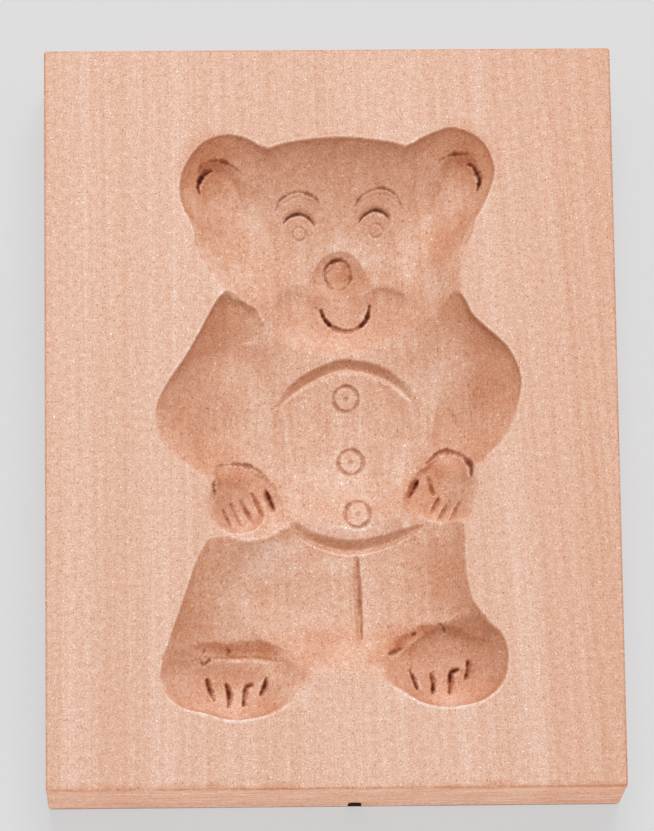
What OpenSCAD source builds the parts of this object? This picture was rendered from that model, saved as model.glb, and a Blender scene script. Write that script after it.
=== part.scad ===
// Springerle mould: a flat board with a standing bear hollowed into its face.
// The carved face is up, the bear's head points to +Y and the back lies on z = 0.
// Every place on the face is measured from the board's centre.

/* [Board] */
// Width of the board, across the grain
board_w = 100; // [80:1:140]
// Length of the board, along the grain
board_l = 132; // [120:1:180]
// Thickness of the board
board_t = 20; // [14:1:30]
// Width of the eased arris along every edge
edge_ease = 0.4; // [0.1:0.1:2]

/* [End notch] */
// Width of the round-topped notch in the foot end
notch_w = 2.4; // [1:0.2:4]
// Height of the notch above the back
notch_h = 4.6; // [3:0.2:8]
// Depth of the notch along the grain
notch_d = 8; // [2:1:20]
// Place of the notch across the board
notch_x = 3.5; // [-20:0.5:20]

/* [Carving] */
// Height of each hollow's sweep centre above the face: a higher centre makes a gentler rim
sweep_rise = 4; // [2:0.5:8]
// Depth of the lines and splits below the floor of the hollows
cut_depth = 0.7; // [0.4:0.1:1.2]
// Width of the lines around the eyes, mouth, ears, hands and buttons
line_w = 1; // [0.8:0.1:1.4]
// Width of the splits between the fingers, toes and legs
split_w = 1.1; // [0.6:0.1:1.6]

/* [Head] */
// Centre of the head
head_at = [1.5, 29.5]; // [0:0.5:40]
// Width and height of the head at the face
head_size = [47.5, 40]; // [28:0.5:56]
// Depth of the head
head_depth = 6.4; // [5:0.1:9]
// Centre of the left ear
ear_left_at = [-16.5, 39.5]; // [-24:0.5:46]
// Centre of the right ear
ear_right_at = [20, 40]; // [16:0.5:46]
// Length and width of an ear at the face
ear_size = [24, 17]; // [12:0.5:28]
// Slant of the left ear, from the board's width
ear_left_turn = 118; // [100:1:140]
// Slant of the right ear, from the board's width
ear_right_turn = 62; // [40:1:80]
// Depth of an ear
ear_depth = 4.4; // [3:0.2:7]
// Distance from an ear's centre to the centre of the line inside it
ear_line_out = 3.4; // [2:0.2:5]
// Radius of the line inside an ear
ear_line_r = 4.6; // [3:0.2:6]
// Angle that the line inside an ear runs through
ear_line_sweep = 150; // [60:5:180]

/* [Face] */
// Centre of the muzzle
muzzle_at = [2.6, 18.4]; // [0:0.2:20]
// Width and height of the muzzle at the face
muzzle_size = [30, 24]; // [14:0.5:36]
// Depth of the muzzle
muzzle_depth = 7.6; // [6:0.2:9]
// Centre of the snout
snout_at = [2.2, 26.4]; // [0:0.2:30]
// Width and height of the snout at the face
snout_size = [16, 18]; // [10:0.5:20]
// Depth of the snout
snout_depth = 8.4; // [7:0.2:10]
// Radius of the line around the nose
nose_r = 2.5; // [1.5:0.1:3.5]
// Height of the nose's centre above the snout's centre
nose_rise = 0.6; // [-1:0.1:2]
// Radius of the mouth line
mouth_r = 4.4; // [3:0.2:6]
// Height of the mouth line's centre above the muzzle's centre
mouth_rise = 2; // [1:0.2:5]
// Angle that the mouth line runs through
mouth_sweep = 180; // [90:5:200]
// Centre of the left eye
eye_left_at = [-5.2, 34.8]; // [-8:0.2:38]
// Centre of the right eye
eye_right_at = [8.2, 35.3]; // [6:0.1:38]
// Radius of an eyelid line
lid_r = 2.8; // [2.2:0.1:3.6]
// Angle that an eyelid line runs through
lid_sweep = 130; // [60:5:180]
// Radius of a pupil ring
pupil_r = 1.2; // [0.9:0.1:1.6]
// Distance of a pupil below its eye's centre
pupil_drop = 1.2; // [0.8:0.1:2]

/* [Arms] */
// Centre of the left upper arm
upper_left_at = [-15, 9]; // [-22:0.2:12]
// Centre of the right upper arm
upper_right_at = [20, 9]; // [8:0.2:26]
// Length and width of the left upper arm
upper_left_size = [34, 20.5]; // [12:0.5:40]
// Length and width of the right upper arm
upper_right_size = [32, 20.5]; // [12:0.5:40]
// Slant of the left upper arm, from the board's width
upper_left_turn = 59; // [45:1:80]
// Slant of the right upper arm, from the board's width
upper_right_turn = 128; // [110:1:140]
// Centre of the left forearm
fore_left_at = [-17.2, -4.4]; // [-24:0.2:0]
// Centre of the right forearm
fore_right_at = [20.6, -2.8]; // [-4:0.2:28]
// Length and width of a forearm
fore_size = [29, 18]; // [12:0.5:32]
// Slant of the left forearm, from the board's width
fore_left_turn = 132; // [115:1:150]
// Slant of the right forearm, from the board's width
fore_right_turn = 52; // [35:1:70]
// Depth of an upper arm
upper_depth = 4.6; // [4:0.2:8]
// Depth of a forearm
fore_depth = 5.2; // [4:0.2:8]
// Centre of the left hand
hand_left_at = [-14.6, -14]; // [-18:0.2:-10]
// Centre of the right hand
hand_right_at = [18, -12.8]; // [-14:0.2:22]
// Width and height of a hand
hand_size = [14, 14.5]; // [10:0.5:18]
// Depth of a hand
hand_depth = 5.8; // [4:0.2:8]
// Radius of the cuff line around the wrist's end of a hand
cuff_r = 5.4; // [4:0.2:7]
// Angle that a cuff line runs through
cuff_sweep = 130; // [60:5:180]
// Length of the splits between the fingers
finger_len = 3.8; // [2:0.2:5]
// Step from one finger split to the next
finger_step = 2; // [1.6:0.1:2.6]
// Distance of the finger splits from the middle of a hand
finger_drop = 2.6; // [1:0.2:4]
// Finger splits on a hand
finger_splits = 4; // [2:1:5]
// Slant of a hand's row of fingers, from the board's width
finger_turn = 24; // [0:1:40]

/* [Trunk] */
// Centre of the trunk
trunk_at = [3, 1]; // [-6:0.5:8]
// Width and height of the trunk at the face
trunk_size = [46, 62]; // [40:0.5:70]
// Depth of the trunk
trunk_depth = 5.6; // [4:0.2:8]

/* [Belly] */
// Centre of the belly
belly_at = [3, -4.2]; // [-8:0.2:6]
// Width and height of the belly at the face
belly_size = [36, 42]; // [30:0.5:56]
// Depth of the belly
belly_depth = 6.8; // [5:0.2:9]
// Height of the upper channel's crown above the belly's centre
channel_rise = 14; // [11:0.2:16]
// Radius of the upper channel
channel_top_r = 12.8; // [12.2:0.2:18]
// Distance of the lower channel's crown below the belly's centre
channel_drop = 18.2; // [14:0.2:20]
// Radius of the lower channel
channel_low_r = 17; // [12:0.2:22]
// Width of the channels
channel_w = 2.2; // [1.6:0.1:3]
// Width that each channel spans across the belly
channel_span = 23; // [14:0.5:24]
// Centre of the middle button
button_at = [3.4, -6.8]; // [-10:0.2:6]
// Step from one button to the next one below
button_step = [0.8, -10.4]; // [-13:0.2:2]
// Radius of a button ring
button_r = 2.1; // [1.2:0.1:3]

/* [Legs] */
// Centre of the lap, between the legs
lap_at = [2.6, -30]; // [-34:0.2:6]
// Width and height of the lap
lap_size = [38, 32]; // [16:0.5:40]
// Depth of the lap
lap_depth = 5.2; // [3:0.2:7]
// Centre of the left leg
leg_left_at = [-13.4, -33.4]; // [-36:0.2:-10]
// Centre of the right leg
leg_right_at = [12.6, -30]; // [-34:0.2:16]
// Length and width of the left leg
leg_left_size = [42, 25]; // [16:0.5:46]
// Length and width of the right leg
leg_right_size = [38, 21.5]; // [16:0.5:46]
// Slant of the left leg, from the board's width
leg_left_turn = 66; // [55:1:90]
// Slant of the right leg, from the board's width
leg_right_turn = 92; // [80:1:110]
// Depth of a leg
leg_depth = 4.6; // [3:0.2:8]
// Upper end of the split between the legs
crotch_at = [3.8, -24.6]; // [-30:0.2:6]
// Length of the split between the legs
crotch_len = 16; // [8:0.5:18]
// Centre of the left foot
foot_left_at = [-16.4, -46.2]; // [-48:0.2:-12]
// Centre of the right foot
foot_right_at = [19.4, -44.8]; // [-48:0.2:22]
// Length and width of the left foot
foot_left_size = [27.5, 16.5]; // [12:0.5:30]
// Length and width of the right foot
foot_right_size = [22.5, 15.5]; // [12:0.5:30]
// Slant of the right foot, from the board's width
foot_right_turn = 5; // [0:1:25]
// Depth of a foot
foot_depth = 6; // [4:0.2:8]
// Length of the splits between the toes
toe_len = 3.8; // [2:0.2:5]
// Step from one toe split to the next
toe_step = 3.1; // [2:0.1:3.6]
// Distance of the toe splits below the middle of a foot
toe_drop = 2.6; // [1:0.2:4]
// Toe splits on a foot
toe_splits = 4; // [2:1:5]

/* [Hidden] */
$fn = 48;

// Each hollow is its centre, its length and width at the face, its depth and its slant.
HOLLOWS = [
  [head_at, head_size, head_depth, 0],
  [ear_left_at, ear_size, ear_depth, ear_left_turn],
  [ear_right_at, ear_size, ear_depth, ear_right_turn],
  [muzzle_at, muzzle_size, muzzle_depth, 0],
  [snout_at, snout_size, snout_depth, 0],
  [upper_left_at, upper_left_size, upper_depth, upper_left_turn],
  [upper_right_at, upper_right_size, upper_depth, upper_right_turn],
  [fore_left_at, fore_size, fore_depth, fore_left_turn],
  [fore_right_at, fore_size, fore_depth, fore_right_turn],
  [hand_left_at, hand_size, hand_depth, 0],
  [hand_right_at, hand_size, hand_depth, 0],
  [trunk_at, trunk_size, trunk_depth, 0],
  [belly_at, belly_size, belly_depth, 0],
  [lap_at, lap_size, lap_depth, 0],
  [leg_left_at, leg_left_size, leg_depth, leg_left_turn],
  [leg_right_at, leg_right_size, leg_depth, leg_right_turn],
  [foot_left_at, foot_left_size, foot_depth, 0],
  [foot_right_at, foot_right_size, foot_depth, foot_right_turn],
];

function heading(turn) = [cos(turn), sin(turn)];

// Half axes of the ellipsoid that sweeps a hollow, so that it meets the face at the hollow's own size
function sweep_axes(size, depth) =
  let (c = depth + sweep_rise, k = 1 / sqrt(1 - pow(sweep_rise / c, 2)))
  [k * size.x / 2, k * size.y / 2, c];

// Depth of one hollow below the face at a place, or less than zero outside it
function hollow_depth(h, p) =
  let (axes = sweep_axes(h[1], h[2]), d = p - h[0])
  let (u = d * heading(h[3]) / axes.x, v = d * heading(h[3] + 90) / axes.y)
  axes.z * sqrt(max(0, 1 - u * u - v * v)) - sweep_rise;

// Height of the carved floor at a place
function floor_z(p) = board_t - max(0, max([for (h = HOLLOWS) hollow_depth(h, p)]));

// Mean height of the carved floor under a ring
function ring_z(at, r) =
  let (around = [for (turn = [0 : 45 : 315]) floor_z(at + heading(turn) * r)])
  around * [for (z = around) 1] / len(around);

module eased_rectangle(w, l) {
  e = edge_ease;
  polygon([
    [e - w / 2, -l / 2], [w / 2 - e, -l / 2], [w / 2, e - l / 2], [w / 2, l / 2 - e],
    [w / 2 - e, l / 2], [e - w / 2, l / 2], [-w / 2, l / 2 - e], [-w / 2, e - l / 2],
  ]);
}

// The plain board, planed and eased, before it is carved
module blank() {
  translate([0, 0, board_t / 2])
    intersection() {
      linear_extrude(board_t, center = true) eased_rectangle(board_w, board_l);
      rotate([90, 0, 0]) linear_extrude(board_l, center = true) eased_rectangle(board_w, board_t);
      rotate([90, 0, 90]) linear_extrude(board_w, center = true) eased_rectangle(board_l, board_t);
    }
}

// Round-topped notch that opens on the back and on the foot end
module end_notch() {
  translate([notch_x, notch_d - board_l / 2, 0])
    rotate([90, 0, 0])
      linear_extrude(2 * notch_d) {
        translate([0, notch_h - notch_w / 2]) circle(d = notch_w);
        translate([-notch_w / 2, -notch_h]) square([notch_w, 2 * notch_h - notch_w / 2]);
      }
}

module hollow(h) {
  translate([h[0].x, h[0].y, board_t + sweep_rise])
    rotate(h[3])
      scale(sweep_axes(h[1], h[2])) sphere(1);
}

// Straight split that tapers to nothing at both ends and follows the floor's slope
module split(at, turn, len) {
  half = heading(turn) * len / 2;
  rise = floor_z(at + half) - floor_z(at - half);
  translate([at.x, at.y, floor_z(at)])
    rotate([0, -atan(rise / len), turn])
      scale([len / 2, split_w / 2, cut_depth]) sphere(1);
}

// Row of parallel splits, centred on a place
module split_row(at, turn, count, step, len) {
  for (i = [0 : count - 1])
    split(at + heading(turn) * step * (i - (count - 1) / 2), turn + 90, len);
}

// Round-bottomed line on an arc, sunk below the floor under the arc's crown
module arc_line(at, r, crown, sweep, w) {
  translate([at.x, at.y, floor_z(at + heading(crown) * r) + w / 2 - cut_depth])
    rotate(crown - sweep / 2)
      rotate_extrude(angle = sweep) translate([r, 0]) circle(d = w);
}

module ring_line(at, r) {
  translate([at.x, at.y, ring_z(at, r) + line_w / 2 - cut_depth])
    rotate_extrude() translate([r, 0]) circle(d = line_w);
}

module eye(at) {
  arc_line(at, lid_r, 90, lid_sweep, line_w);
  ring_line(at - [0, pupil_drop], pupil_r);
}

module ear_line(at, turn) {
  arc_line(at + heading(turn) * ear_line_out, ear_line_r, turn, ear_line_sweep, line_w);
}

module head_lines() {
  eye(eye_left_at);
  eye(eye_right_at);
  ear_line(ear_left_at, ear_left_turn);
  ear_line(ear_right_at, ear_right_turn);
  ring_line(snout_at + [0, nose_rise], nose_r);
  arc_line(muzzle_at + [0, mouth_rise], mouth_r, 270, mouth_sweep, line_w);
}

module hand_lines(at, turn) {
  arc_line(at, cuff_r, 90, cuff_sweep, line_w);
  split_row(at - heading(turn + 90) * finger_drop, turn, finger_splits, finger_step, finger_len);
}

module belly_lines() {
  arc_line(belly_at + [0, channel_rise - channel_top_r], channel_top_r, 90,
           2 * asin(channel_span / channel_top_r / 2), channel_w);
  arc_line(belly_at - [0, channel_drop - channel_low_r], channel_low_r, 270,
           2 * asin(channel_span / channel_low_r / 2), channel_w);
  for (i = [-1 : 1]) ring_line(button_at + button_step * i, button_r);
}

module foot_lines(at, turn) {
  split_row(at - heading(turn + 90) * toe_drop, turn, toe_splits, toe_step, toe_len);
}

module mould_board() {
  color([0.89, 0.73, 0.64])
    difference() {
      blank();
      end_notch();
      for (h = HOLLOWS) hollow(h);
      head_lines();
      hand_lines(hand_left_at, finger_turn);
      hand_lines(hand_right_at, -finger_turn);
      belly_lines();
      split(crotch_at - [0, crotch_len / 2], 90, crotch_len);
      foot_lines(foot_left_at, 0);
      foot_lines(foot_right_at, foot_right_turn);
    }
}

mould_board();
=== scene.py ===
import math

import bpy
import numpy as np
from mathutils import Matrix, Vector


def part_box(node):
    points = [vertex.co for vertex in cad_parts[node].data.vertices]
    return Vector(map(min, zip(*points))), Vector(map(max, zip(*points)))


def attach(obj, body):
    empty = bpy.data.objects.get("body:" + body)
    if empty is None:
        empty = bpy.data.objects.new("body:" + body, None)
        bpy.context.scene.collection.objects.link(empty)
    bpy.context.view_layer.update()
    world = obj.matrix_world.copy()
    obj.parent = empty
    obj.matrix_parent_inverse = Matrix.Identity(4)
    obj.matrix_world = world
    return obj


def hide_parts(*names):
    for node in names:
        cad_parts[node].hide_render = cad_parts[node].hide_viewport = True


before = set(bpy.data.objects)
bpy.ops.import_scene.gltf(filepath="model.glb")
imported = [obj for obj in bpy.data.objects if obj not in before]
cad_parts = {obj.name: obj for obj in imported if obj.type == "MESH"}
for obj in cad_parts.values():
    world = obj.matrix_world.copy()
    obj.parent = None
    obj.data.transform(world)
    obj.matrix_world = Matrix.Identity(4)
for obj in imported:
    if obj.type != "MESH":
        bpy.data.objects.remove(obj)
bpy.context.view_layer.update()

# Lengths are in millimetres, measured from the middle of the board: x to the right, y towards the
# bear's head, depths down from the carved face. Blender's own unit is the metre.
MM = 0.001

# Board, as the frame gives it
LOW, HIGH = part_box("mould_board")
BOARD_W = (HIGH[0] - LOW[0]) / MM
BOARD_L = (HIGH[1] - LOW[1]) / MM
BOARD_T = (HIGH[2] - LOW[2]) / MM

# Eased arris round the face and the back: its radius, and the steps of its mesh in degrees
ARRIS = 0.4
ARRIS_STEPS = (15, 30, 45, 60, 75, 90)

# Round-topped notch in the lower edge of the end at the bear's feet
NOTCH_X = 3.5
NOTCH_W = 2.4
NOTCH_H = 4.6
NOTCH_D = 8.0

# Mesh of the carved face: how far the figure as drawn is moved, where it lies, and close lines over it
# and wide ones outside it. A hair is a length too small to show.
FIGURE_SHIFT = (-0.1, 0.25)
FIGURE_X = (-34, 36)
FIGURE_Y = (-57, 54)
STEP_FINE = 0.2
STEP_WIDE = 2.0
STEP_EDGE = 0.15
SHARP_ANGLE = 80
HAIR = 1e-6

# Painted shade in the wood's colour: 0 on the planed face, towards 1 on a steep wall that falls to the
# feet, away from the key lamp, and far past 1 in the notch. Slopes to the sides and slopes that rise to
# the feet count for less.
END_TONE = 0.26
# Painted shade on the eased arris round the face
ARRIS_SHADE = 0.3
NOTCH_SHADE = 5.0
SIDE_SLOPE = 0.4
RISING_SLOPE = 0.02
STEEP_SLOPE = 0.5
BROWN_OF_WALL_SHADE = 0.325

# Camera, fitted to the corners of the board in the photograph
PHOTO_H = 831
FOCAL_PX = 5663.2
SENSOR = 36.0
CAMERA_AT = (-27.78, -216.03, 962.01)
CAMERA_TURN = (12.655, -1.428, -0.770)


def srgb(r, g, b):
    """Linear colour of an 8-bit screen colour."""
    def line(v):
        v = v / 255
        return v / 12.92 if v <= 0.04045 else ((v + 0.055) / 1.055) ** 2.4
    return (line(r), line(g), line(b), 1.0)


# Curves on the face

WAVES = (2.1, 5.3, 11.7, 23.0)
WAVE_SCALE = 2.2


def smooth(points, closed=False, steps=12):
    """Smooth curve through points."""
    p = np.asarray(points, float)
    if closed:
        p = np.concatenate([p[-1:], p, p[:2]])
    else:
        p = np.concatenate([[2 * p[0] - p[1]], p, [2 * p[-1] - p[-2]]])
    t = np.arange(steps)[:, None] / steps
    out = []
    for a, b, c, d in zip(p, p[1:], p[2:], p[3:]):
        out.append(b + ((c - a) * t + (2 * a - 5 * b + 4 * c - d) * t**2
                        + (3 * b - a - 3 * c + d) * t**3) / 2)
    if not closed:
        out.append(p[-2:-1])
    return np.concatenate(out)


def oval(at, size, turn=0.0, count=24):
    """Points round an ellipse."""
    a = np.linspace(0, 2 * math.pi, count, endpoint=False)
    u = size[0] / 2 * np.cos(a)
    v = size[1] / 2 * np.sin(a)
    c = math.cos(math.radians(turn))
    s = math.sin(math.radians(turn))
    return np.stack([at[0] + u * c - v * s, at[1] + u * s + v * c], 1)


def ring(at, size):
    """Closed path round an ellipse."""
    path = oval(at, size)
    return np.concatenate([path, path[:1]])


def arc(at, radius, start, end, count=14):
    """Path along an arc, angles in degrees."""
    a = np.radians(np.linspace(start, end, count))
    return np.stack([at[0] + radius * np.cos(a), at[1] + radius * np.sin(a)], 1)


def waver(place, seed):
    """Uneven value about zero along a path, as a hand-held tool leaves it."""
    total = 0
    for k, wave in enumerate(WAVES):
        phase = 1.7 * seed + 2.3 * k * seed
        total = total + np.sin(wave * place * math.pi + phase) / (1 + 0.5 * k)
    return total / WAVE_SCALE


def soft_max(a, b, blend):
    """Larger of two depths, rounded over where they meet."""
    return np.maximum(a, b) + np.maximum(blend - np.abs(a - b), 0) ** 2 / (4 * blend)


def blurred(values, reach):
    """Values evened out over a reach given in grid steps."""
    span = range(-3 * reach, 3 * reach + 1)
    weight = np.array([math.exp(-0.5 * (k / reach) ** 2) for k in span])
    weight /= weight.sum()
    for axis in (0, 1):
        values = sum(w * np.roll(values, k, axis) for w, k in zip(weight, span))
    return values


# How far above the face an uncut place starts, the steps of a full turn about a pole, how far in
# radians a hollow's corners even out towards its pole, and how round a groove's bottom is
UNCUT = -9.0
TURN_STEPS = 720
CORNER_EASE = 0.4
GROOVE_POWER = 1.3


class Carving:
    """Depth below the carved face on a grid of places, with painted light and shade in patches and painted
    shade in cuts.
    """

    def __init__(self, xs, ys):
        self.X, self.Y = np.meshgrid(xs, ys)
        self.depth = np.full(self.X.shape, UNCUT)
        self.patch_shading = np.zeros(self.X.shape)
        self.shade = np.zeros(self.X.shape)

    def nearest(self, path, margin):
        """Part of the grid round a path, with each place's distance to it, its side and how far along
        the path that is, and the length of the path up to each of its points."""
        low = path.min(0) - margin
        high = path.max(0) + margin
        rows = np.where((self.Y[:, 0] >= low[1]) & (self.Y[:, 0] <= high[1]))[0]
        cols = np.where((self.X[0] >= low[0]) & (self.X[0] <= high[0]))[0]
        box = np.ix_(rows, cols)
        x = self.X[box]
        y = self.Y[box]
        best = np.full(x.shape, np.inf)
        side = np.zeros(x.shape)
        place = np.zeros(x.shape)
        run = np.concatenate([[0], np.cumsum(np.hypot(*np.diff(path, axis=0).T))])
        for i in range(len(path) - 1):
            step = path[i + 1] - path[i]
            length = np.hypot(*step)
            t = np.clip(((x - path[i, 0]) * step[0] + (y - path[i, 1]) * step[1]) / length**2, 0, 1)
            dx = x - path[i, 0] - t * step[0]
            dy = y - path[i, 1] - t * step[1]
            away = np.hypot(dx, dy)
            near = away < best
            best = np.where(near, away, best)
            side = np.where(near, np.sign(step[0] * dy - step[1] * dx), side)
            place = np.where(near, run[i] + t * length, place)
        return box, best, side, place, run

    def polar(self, pole, outline, value, rough=0.0, seed=1.0):
        """Distance of every place from a pole and of the outline on the same ray, the steps of a full
        turn, each place's own turn, and for the steps the outline's distance and a value that runs round
        it: its points' third number, or the given one where a point has none."""
        curve = smooth([p[:2] for p in outline], closed=True)
        extra = [p[2] if len(p) == 3 else value for p in outline]
        extra = np.interp(np.arange(len(curve)) * len(outline) / len(curve),
                          np.arange(len(outline) + 1), extra + extra[:1])
        dx = curve[:, 0] - pole[0]
        dy = curve[:, 1] - pole[1]
        angle = np.arctan2(dy, dx)
        order = np.argsort(angle)
        full = 2 * math.pi
        turn = np.linspace(-math.pi, math.pi, TURN_STEPS, endpoint=False)
        reach = np.interp(turn, angle[order], np.hypot(dx, dy)[order], period=full)
        reach = reach + rough * waver(turn * 2, seed)
        values = np.interp(turn, angle[order], extra[order], period=full)
        here = np.arctan2(self.Y - pole[1], self.X - pole[0])
        away = np.hypot(self.X - pole[0], self.Y - pole[1])
        limit = np.interp(here, turn, reach, period=full)
        return away, limit, turn, here, reach, values

    def bowl(self, pole, outline, depth, edge):
        """Hollow that is deepest at its pole and ends on its outline. An edge under 1 is a wall, over 1
        a fade. Towards the pole the outline's corners even out."""
        away, limit, turn, here, reach, edges = self.polar(pole, outline, edge)
        spread = np.exp(-0.5 * (turn / CORNER_EASE) ** 2)
        spread = np.fft.fft(np.fft.ifftshift(spread / spread.sum()))
        near = np.minimum(away / limit, 1) ** 3

        def eased(values):
            rounded = np.fft.ifft(np.fft.fft(values) * spread).real
            inner = np.interp(here, turn, rounded, period=2 * math.pi)
            return inner + (np.interp(here, turn, values, period=2 * math.pi) - inner) * near

        share = away / eased(reach)
        inside = depth * np.maximum(1 - share**2, 0) ** eased(edges)
        return np.where(away < limit, inside, limit - away)

    def hollow(self, pole, outline, depth, edge=0.7, blend=0.3):
        """Hollow cut from the face. The deeper of it and what is there stays."""
        self.depth = soft_max(self.depth, self.bowl(pole, outline, depth, edge), blend)

    def shelf(self, pole, outline, depth, wall, rough=0.0, seed=1.0):
        """Floor of a hollow let down further inside an outline, behind a wall so many millimetres wide.
        A wall as wide as the way to the pole fades out. The face round the hollow stays."""
        away, limit, turn, here, reach, walls = self.polar(pole, outline, wall, rough, seed)
        width = np.minimum(np.interp(here, turn, walls, period=2 * math.pi), limit)
        t = np.clip((limit - away) / width, 0, 1)
        fading = np.clip(2 * width / limit - 1, 0, 1)
        t = t * (fading * t * (3 - 2 * t) + (1 - fading) * (2 - t))
        self.depth = self.depth + depth * t * np.clip(self.depth, 0, 1)

    def cut(self, path, width, depth, dark, taper=0.5, lean=0.0, rough=0.0, seed=1.0):
        """Groove cut down from the floor along a path, thinning to its ends, with so much painted shade in
        it.
        Lean moves its bottom to one side."""
        path = np.asarray(path, float)
        box, away, side, place, run = self.nearest(path, width)
        share = place / run[-1]
        swell = np.maximum(4 * share * (1 - share), 0) ** taper
        uneven = 1 + rough * waver(place / 6, seed)
        half = width / 2 * swell * uneven + HAIR
        s = side * away / half
        s = np.where(s > lean, (s - lean) / (1 - lean), (lean - s) / (1 + lean))
        groove = swell * uneven * np.maximum(0, 1 - s**GROOVE_POWER)
        self.depth[box] += depth * groove
        self.shade[box] += dark * groove

    def shade_patch(self, pole, outline, amount):
        """Patch of painted shade, or of painted light below zero, that fades out to its outline."""
        away, limit, *rest = self.polar(pole, outline, 0)
        self.patch_shading += amount * np.maximum(1 - (away / limit) ** 2, 0) ** 2

    def patches(self, spots):
        """Oval shade patches: where each is, its size, how much painted shade, painted light below zero,
        and its turn where it has one.
        """
        for at, size, amount, *turn in spots:
            self.shade_patch(at, oval(at, size, *turn), amount)


# The figure, part by part. A point of an outline is x, y and, where it differs from the rest, the
# hollow's edge or the shelf's wall there. A wall of FADE is wide enough to fade out. Shade patches
# are painted shade, and painted light where their amount is below zero.

FADE = 14.0
LIP_BLEND = 0.08


def head_and_ears(c):
    c.hollow((1.5, 21), [
        (2, 49.7), (-5, 49.1), (-9.6, 48), (-15, 45), (-19.5, 40), (-22.5, 34.5, 1.2), (-23.2, 31, 1.7),
        (-22.4, 28, 2), (-20.3, 24, 2), (-18.6, 21.5, 1.8), (-15.5, 17.5, 1.2), (-12, 13.5), (-7, 9.5),
        (1, 7.5), (9, 9), (15, 13), (20, 18.5), (23, 20.8, 1.1), (23.4, 25.5, 1.4), (24, 29, 1.6),
        (25.3, 33.5, 1.4), (23.5, 40, 0.8), (19, 45), (13, 48.2), (8, 49.2)], depth=6.8, edge=0.65)
    c.hollow((-10, 29), [
        (-10.7, 47.7), (-11.8, 48.1), (-14.5, 49.6), (-18, 50.2), (-22, 48.8), (-25, 45), (-26.1, 41),
        (-25.6, 37.5), (-24, 33.5, 1.2), (-22, 28, 1.4), (-14, 19), (-4, 19), (-1, 30), (-6, 44)],
        depth=4.8, edge=0.6, blend=1.0)
    c.hollow((13.5, 29.5), [
        (14, 48), (15, 48.5), (17.5, 49.9), (22.3, 51.3), (27.2, 48.8), (29.1, 44.5), (28.9, 41.5),
        (27.2, 37, 0.9), (25.6, 34, 1.4), (22.5, 28, 1.7), (16, 20), (6, 20), (4, 31), (9, 44)],
        depth=4.8, edge=0.6, blend=1.0)
    c.shelf((-15, 37), [
        (-22.9, 40, 3), (-22.9, 43.2), (-22, 45.1), (-20.4, 46, 3), (-18.4, 46, 4), (-16, 45.1, 7),
        (-11.5, 43.5, FADE), (-8, 39, FADE), (-7.5, 32, FADE), (-15, 26, FADE), (-22, 30, FADE)],
        depth=0.7, wall=2.5, rough=0.15, seed=1.0)
    c.shelf((19.5, 37.5), [
        (26.8, 40.5, 3), (26.8, 43.6), (26, 45.6), (24.6, 46.8, 3), (22.4, 47, 4), (20, 46.2, 7),
        (15.5, 44.3, FADE), (12, 39.5, FADE), (11.5, 32, FADE), (18, 27, FADE), (24.5, 33, FADE)],
        depth=0.7, wall=2.5, rough=0.15, seed=2.0)
    c.shade_patch((-21, 45), [(-28, 41), (-26, 50), (-19, 53), (-13, 49), (-16, 41), (-22, 37)], 0.2)
    c.shade_patch((24.5, 46), [(31, 42), (29.5, 51), (23, 54), (17.5, 50), (20, 42), (26.5, 38)], 0.2)
    c.patches((
        ((-13, 32), (13, 12), 0.07), ((-11.5, 38.5), (8, 10), -0.08), ((-17, 24), (11, 15), -0.12),
        ((17, 32), (13, 13), 0.04), ((4, 30), (24, 10), -0.1), ((18.5, 23), (7, 11), -0.1),
        ((15, 27), (9, 13), -0.06), ((-20.5, 29.5), (6, 12), -0.08)))


def torso(c):
    c.hollow((3, -6), oval((3, 4), (46, 66)), depth=5.6, edge=0.85, blend=0.6)
    c.shelf((3, -4), [
        (-9.8, 2, 8), (-7.8, 5.2, 4), (-5, 7.7, 2.6), (0, 10.1), (3.2, 10.6), (8.1, 9.6, 2.6), (12, 7, 4),
        (15.8, 2, 8), (17.2, -1, 10), (18.5, -6, FADE), (15, -16, FADE), (3, -22, FADE), (-9, -16, FADE),
        (-12.5, -6, FADE), (-11.2, -1, 10)], depth=0.8, wall=2.3)
    c.patches((
        ((-12, 3), (7, 16), -0.05), ((0, -10), (19, 12), -0.07), ((13, -9), (9, 13), -0.1),
        ((12, 13.5), (10, 6), -0.05), ((13, 5.5), (7, 8), -0.1), ((3.5, -20.2), (24, 4), -0.1),
        ((-5, 15), (9, 6), -0.08), ((-12.5, 15), (8, 9), -0.05), ((17, 5), (7, 15), -0.09)))


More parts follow.
